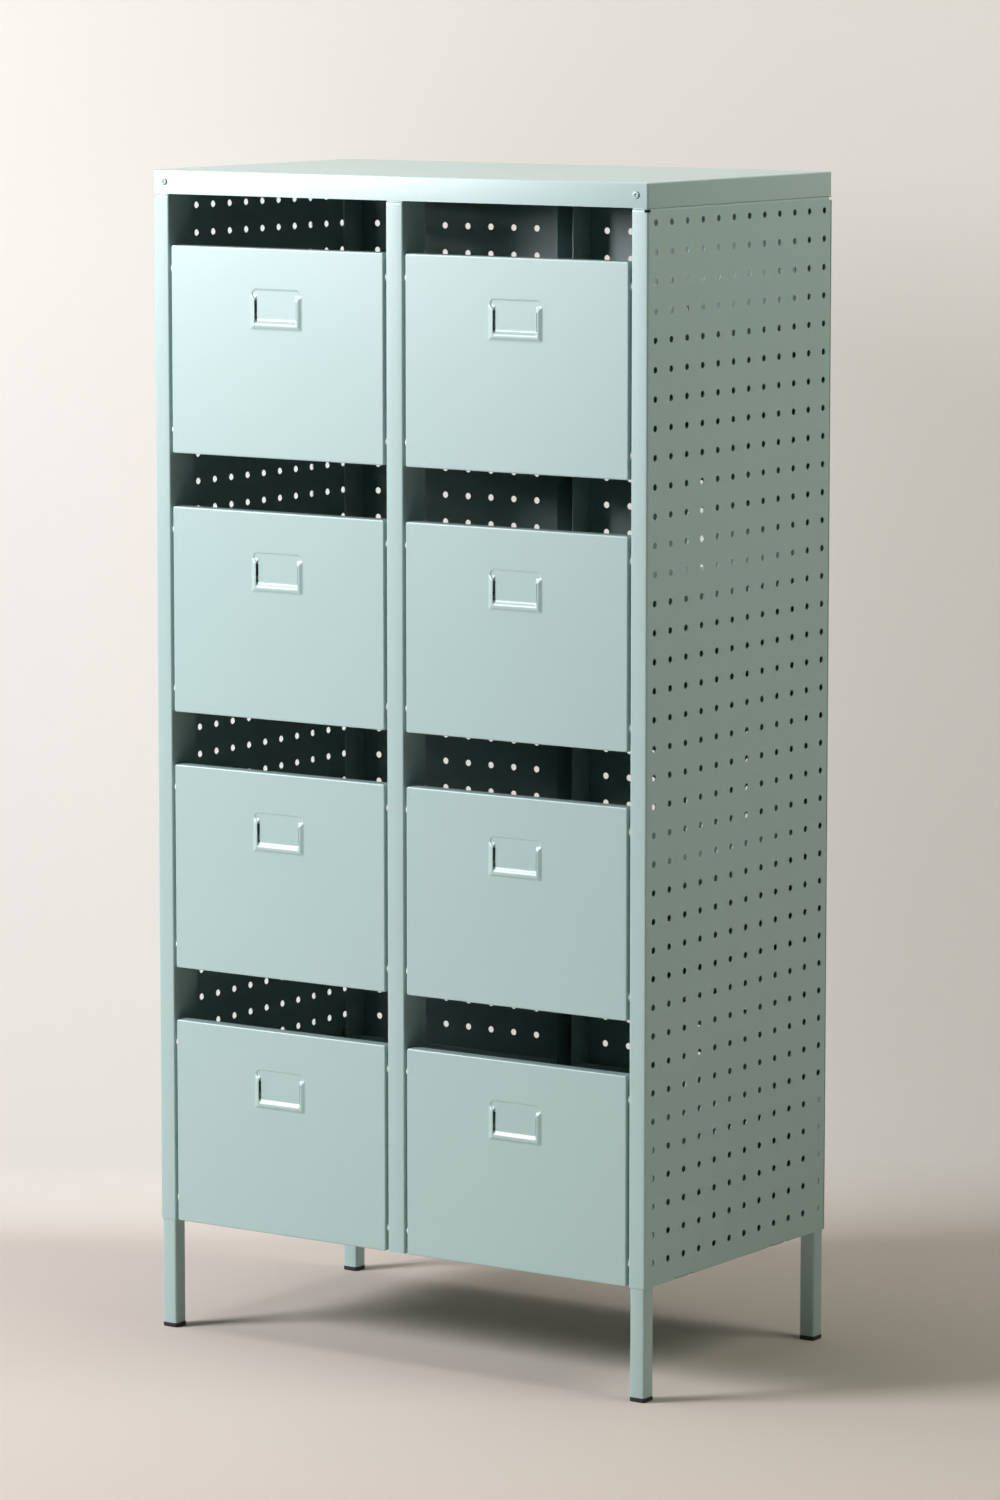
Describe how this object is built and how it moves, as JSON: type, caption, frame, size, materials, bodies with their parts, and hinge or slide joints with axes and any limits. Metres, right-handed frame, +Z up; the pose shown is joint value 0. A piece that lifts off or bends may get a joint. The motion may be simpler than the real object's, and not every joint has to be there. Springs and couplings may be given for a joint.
{
  "type": "drawer cabinet",
  "caption": "Free-standing sheet-metal drawer cabinet: pull-out drawers with pressed label holders in an open frame with perforated sides and back, on square legs.",
  "frame": {"origin": "on the floor, at the middle of the cabinet's outline on plan", "axes": "-Y is the side the drawers open to, +Z up, +X to the right seen from the front"},
  "size_m": [0.526, 0.3029, 1.056],
  "materials": {
    "powder_coat": "satin powder coat",
    "foot_plastic": "matt black",
    "glide_plastic": "pale grey nylon",
    "screw_steel": "zinc plated"
  },
  "bodies": {
    "cabinet": {"right_side_panel": "powder_coat", "left_side_panel": "powder_coat", "back_panel": "powder_coat", "top_cap": "powder_coat", "base_plate": "powder_coat", "front_centre_post": "powder_coat", "rear_centre_post": "powder_coat", "cap_screws": "powder_coat", "back_screws": "screw_steel", "front_left_leg": "powder_coat", "front_left_foot": "foot_plastic", "rear_left_leg": "powder_coat", "rear_left_foot": "foot_plastic", "runner_inner_left_4": "powder_coat", "runner_outer_left_4": "powder_coat", "runner_inner_left_3": "powder_coat", "runner_outer_left_3": "powder_coat", "runner_inner_left_2": "powder_coat", "runner_outer_left_2": "powder_coat", "runner_inner_left_1": "powder_coat", "runner_outer_left_1": "powder_coat", "front_right_leg": "powder_coat", "front_right_foot": "foot_plastic", "rear_right_leg": "powder_coat", "rear_right_foot": "foot_plastic", "runner_inner_right_4": "powder_coat", "runner_outer_right_4": "powder_coat", "runner_inner_right_3": "powder_coat", "runner_outer_right_3": "powder_coat", "runner_inner_right_2": "powder_coat", "runner_outer_right_2": "powder_coat", "runner_inner_right_1": "powder_coat", "runner_outer_right_1": "powder_coat"},
    "drawer_left_4": {"drawer_front_left_4": "powder_coat", "drawer_box_left_4": "powder_coat", "drawer_glides_left_4": "glide_plastic"},
    "drawer_left_3": {"drawer_front_left_3": "powder_coat", "drawer_box_left_3": "powder_coat", "drawer_glides_left_3": "glide_plastic"},
    "drawer_left_2": {"drawer_front_left_2": "powder_coat", "drawer_box_left_2": "powder_coat", "drawer_glides_left_2": "glide_plastic"},
    "drawer_left_1": {"drawer_front_left_1": "powder_coat", "drawer_box_left_1": "powder_coat", "drawer_glides_left_1": "glide_plastic"},
    "drawer_right_4": {"drawer_front_right_4": "powder_coat", "drawer_box_right_4": "powder_coat", "drawer_glides_right_4": "glide_plastic"},
    "drawer_right_3": {"drawer_front_right_3": "powder_coat", "drawer_box_right_3": "powder_coat", "drawer_glides_right_3": "glide_plastic"},
    "drawer_right_2": {"drawer_front_right_2": "powder_coat", "drawer_box_right_2": "powder_coat", "drawer_glides_right_2": "glide_plastic"},
    "drawer_right_1": {"drawer_front_right_1": "powder_coat", "drawer_box_right_1": "powder_coat", "drawer_glides_right_1": "glide_plastic"}
  },
  "joints": [
    {"name": "drawer_left_4_slide", "type": "slide", "parent": "cabinet", "child": "drawer_left_4", "axis": [0, -1, 0], "range_m": [0, 0.23]},
    {"name": "drawer_left_3_slide", "type": "slide", "parent": "cabinet", "child": "drawer_left_3", "axis": [0, -1, 0], "range_m": [0, 0.23]},
    {"name": "drawer_left_2_slide", "type": "slide", "parent": "cabinet", "child": "drawer_left_2", "axis": [0, -1, 0], "range_m": [0, 0.23]},
    {"name": "drawer_left_1_slide", "type": "slide", "parent": "cabinet", "child": "drawer_left_1", "axis": [0, -1, 0], "range_m": [0, 0.23]},
    {"name": "drawer_right_4_slide", "type": "slide", "parent": "cabinet", "child": "drawer_right_4", "axis": [0, -1, 0], "range_m": [0, 0.23]},
    {"name": "drawer_right_3_slide", "type": "slide", "parent": "cabinet", "child": "drawer_right_3", "axis": [0, -1, 0], "range_m": [0, 0.23]},
    {"name": "drawer_right_2_slide", "type": "slide", "parent": "cabinet", "child": "drawer_right_2", "axis": [0, -1, 0], "range_m": [0, 0.23]},
    {"name": "drawer_right_1_slide", "type": "slide", "parent": "cabinet", "child": "drawer_right_1", "axis": [0, -1, 0], "range_m": [0, 0.23]}
  ]
}
